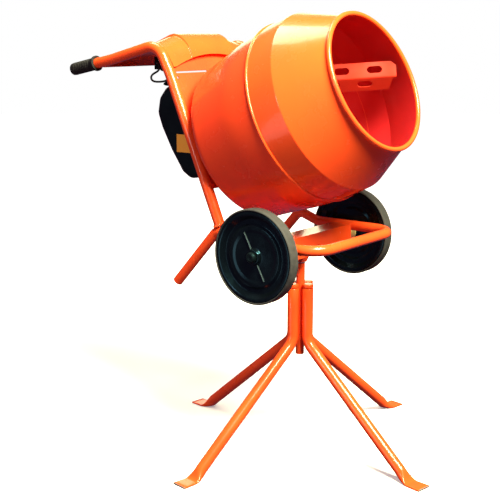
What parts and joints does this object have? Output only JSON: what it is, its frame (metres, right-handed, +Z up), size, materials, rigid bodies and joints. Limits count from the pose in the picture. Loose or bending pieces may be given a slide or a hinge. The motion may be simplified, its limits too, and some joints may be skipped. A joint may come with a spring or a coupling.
{
  "type": "concrete mixer",
  "caption": "Tip-up electric concrete mixer: a tilted drum with mixing blades on a wheeled frame that swivels and tips on a four-legged stand.",
  "frame": {"origin": "on the floor, under the middle of the object's bounding box", "axes": "+X forward, where the drum's mouth points; +Y to the operator's left, along the wheel axle; +Z up"},
  "size_m": [1.2973, 1.0152, 1.3716],
  "materials": {
    "orange_paint": "gloss",
    "black_plastic": "gloss",
    "black_rubber": "matte",
    "grey_tread": "matte",
    "steel": "satin",
    "yellow_zinc": "plated",
    "cast_grey": "satin",
    "amber_label": "matte",
    "green_button": "gloss",
    "red_button": "gloss"
  },
  "bodies": {
    "stand": {"stand_post": "orange_paint", "stand_leg_front": "orange_paint", "stand_leg_left": "orange_paint", "stand_leg_rear": "orange_paint", "stand_leg_right": "orange_paint", "leg_cap_front": "orange_paint", "leg_cap_left": "orange_paint", "leg_cap_rear": "orange_paint", "leg_cap_right": "orange_paint"},
    "swivel": {"swivel_head": "orange_paint", "thrust_washer": "steel"},
    "mixer_frame": {"chassis_tube_left": "orange_paint", "chassis_tube_right": "orange_paint", "chassis_nose": "orange_paint", "cross_channel": "orange_paint", "axle": "yellow_zinc", "axle_spacer_left": "yellow_zinc", "axle_spacer_right": "yellow_zinc", "axle_cap_left": "black_plastic", "axle_cap_right": "black_plastic", "side_tube_left": "orange_paint", "side_tube_right": "orange_paint", "grip_left": "black_rubber", "grip_right": "black_rubber", "hood": "orange_paint", "bulkhead": "orange_paint", "gearbox": "cast_grey", "motor": "cast_grey", "drive_belt": "black_rubber", "rear_cover": "black_plastic", "cover_label": "amber_label", "switch_box": "black_plastic", "power_inlet": "black_plastic", "lead_gland_switch": "black_plastic", "lead_gland_cover": "black_plastic", "motor_lead": "black_rubber"},
    "drum": {"drum_pan": "orange_paint", "drum_cone": "orange_paint", "drum_seam": "orange_paint", "drum_backing": "steel", "drum_shaft": "steel", "paddle_1": "orange_paint", "paddle_2": "orange_paint"},
    "wheel_left_body": {"wheel_left": "black_plastic", "tyre_left": "grey_tread"},
    "wheel_right_body": {"wheel_right": "black_plastic", "tyre_right": "grey_tread"},
    "gearbox_pulley_body": {"gearbox_pulley": "steel"},
    "motor_pulley_body": {"motor_pulley": "steel"},
    "start_button_body": {"start_button": "green_button"},
    "stop_button_body": {"stop_button": "red_button"}
  },
  "joints": [
    {"name": "stand_swivel", "type": "hinge", "parent": "stand", "child": "swivel", "pos_m": [0.141, 0, 0.6], "axis": [0, 0, 1], "continuous": true},
    {"name": "tip", "type": "hinge", "parent": "swivel", "child": "mixer_frame", "pos_m": [0.1637, 0, 0.6655], "axis": [0, 1, 0], "range_deg": [0, 70]},
    {"name": "drum_spin", "type": "hinge", "parent": "mixer_frame", "child": "drum", "pos_m": [0.141, 0, 1.0607], "axis": [0.9178, 0, 0.3971], "continuous": true},
    {"name": "wheel_left_spin", "type": "hinge", "parent": "mixer_frame", "child": "wheel_left_body", "pos_m": [0.1637, 0.26, 0.6655], "axis": [0, 1, 0], "continuous": true},
    {"name": "wheel_right_spin", "type": "hinge", "parent": "mixer_frame", "child": "wheel_right_body", "pos_m": [0.1637, -0.26, 0.6655], "axis": [0, 1, 0], "continuous": true},
    {"name": "gearbox_pulley_spin", "type": "hinge", "parent": "mixer_frame", "child": "gearbox_pulley_body", "pos_m": [-0.22052, 0, 0.92823], "axis": [0.9178, 0, 0.3971], "continuous": true},
    {"name": "motor_pulley_spin", "type": "hinge", "parent": "mixer_frame", "child": "motor_pulley_body", "pos_m": [-0.27374, 0, 1.05121], "axis": [0.9178, 0, 0.3971], "continuous": true},
    {"name": "start_push", "type": "slide", "parent": "mixer_frame", "child": "start_button_body", "axis": [1, 0, 0], "range_m": [0, 0.004], "stiffness_N_per_m": 400},
    {"name": "stop_push", "type": "slide", "parent": "mixer_frame", "child": "stop_button_body", "axis": [1, 0, 0], "range_m": [0, 0.004], "stiffness_N_per_m": 400}
  ],
  "couplings": [
    {"joint": "gearbox_pulley_spin", "follows": "drum_spin", "ratio": 13.5},
    {"joint": "motor_pulley_spin", "follows": "drum_spin", "ratio": 48.214}
  ]
}
